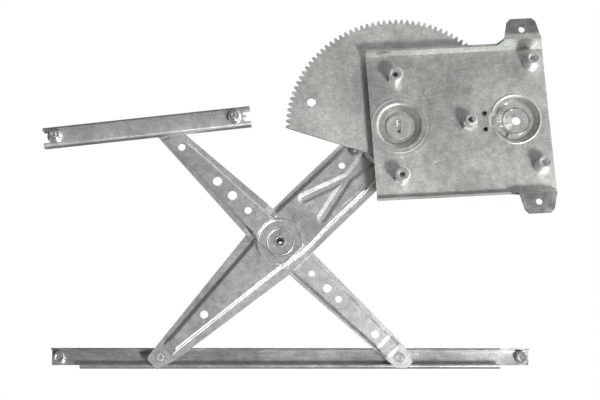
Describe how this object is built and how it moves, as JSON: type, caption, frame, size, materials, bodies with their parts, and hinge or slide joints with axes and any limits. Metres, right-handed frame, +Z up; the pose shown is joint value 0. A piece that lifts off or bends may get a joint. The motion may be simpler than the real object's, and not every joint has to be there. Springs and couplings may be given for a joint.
{
  "type": "window regulator",
  "caption": "Crossed-arm door window regulator: pressed base plate, toothed sector on a lift arm, pivoting equalizer arm, and two channel rails on rollers.",
  "frame": {"origin": "on the lift arm's pivot axis, in the plane where the standoffs and tabs meet the door panel", "axes": "+X to the right as seen from the door panel, along the lift rail; +Y from the door panel towards the glass; +Z up"},
  "size_m": [0.4654, 0.0806, 0.3221],
  "materials": {
    "plate": "mottled zinc plate",
    "arm": "zinc plate",
    "gear": "rolled and oiled",
    "rail": "zinc plate",
    "turned": "turned",
    "fastener": "bright zinc",
    "spring": "oiled",
    "bearing": "sintered",
    "roller": "satin"
  },
  "bodies": {
    "base": {"base_plate": "plate", "pivot_hub": "turned", "door_standoffs": "turned", "motor_standoff_middle": "turned", "motor_standoffs_outer": "turned", "thrust_washer": "bearing", "hub_retainer": "turned"},
    "lift": {"lift_arm": "arm", "sector_gear": "gear", "sector_rivets": "turned", "sector_bush": "bearing", "lift_arm_bush": "bearing", "cross_pivot_bush": "bearing", "counterbalance_spring": "spring", "lift_roller_pin": "turned"},
    "equalizer": {"equalizer_front_arm": "arm", "equalizer_rear_arm": "arm", "cross_pivot_hub": "turned", "guide_roller_pin": "turned", "rail_roller_pin": "turned"},
    "lift_roller": {"lift_roller": "roller"},
    "guide_roller": {"guide_roller": "roller"},
    "rail_roller": {"rail_roller": "roller"},
    "lift_rail": {"lift_rail": "rail", "lift_rail_bolts": "fastener"},
    "guide_rail": {"guide_rail": "rail", "guide_rail_studs": "fastener", "guide_rail_nuts": "fastener"}
  },
  "joints": [
    {"name": "lift_pivot", "type": "hinge", "parent": "base", "child": "lift", "pos_m": [0, 0.034, 0], "axis": [0, 1, 0], "range_deg": [0, 87.8], "deforming": ["counterbalance_spring"]},
    {"name": "cross_pivot", "type": "hinge", "parent": "lift", "child": "equalizer", "pos_m": [-0.10808, 0.042, -0.10401], "axis": [0, 1, 0], "range_deg": [-176, 0]},
    {"name": "lift_roller_spin", "type": "hinge", "parent": "lift", "child": "lift_roller", "pos_m": [-0.21616, 0.06155, -0.20802], "axis": [0, 1, 0], "continuous": true},
    {"name": "guide_roller_spin", "type": "hinge", "parent": "equalizer", "child": "guide_roller", "pos_m": [-0.21616, 0.02025, 0], "axis": [0, 1, 0], "range_deg": [0, 88]},
    {"name": "guide_rail_slide", "type": "slide", "parent": "guide_roller", "child": "guide_rail", "axis": [0.994, 0, 0.1097], "range_m": [-0.055, 0.085]},
    {"name": "rail_roller_spin", "type": "hinge", "parent": "equalizer", "child": "rail_roller", "pos_m": [0, 0.06155, -0.20802], "axis": [0, 1, 0], "range_deg": [0, 88]},
    {"name": "lift_rail_slide", "type": "slide", "parent": "rail_roller", "child": "lift_rail", "axis": [1, 0, 0], "range_m": [-0.03861, 0]}
  ],
  "couplings": [
    {"joint": "cross_pivot", "follows": "lift_pivot", "ratio": -2},
    {"joint": "guide_roller_spin", "follows": "lift_pivot", "ratio": 1},
    {"joint": "rail_roller_spin", "follows": "lift_pivot", "ratio": 1},
    {"joint": "lift_rail_slide", "follows": "lift_pivot", "m_per_rad": -0.025}
  ]
}
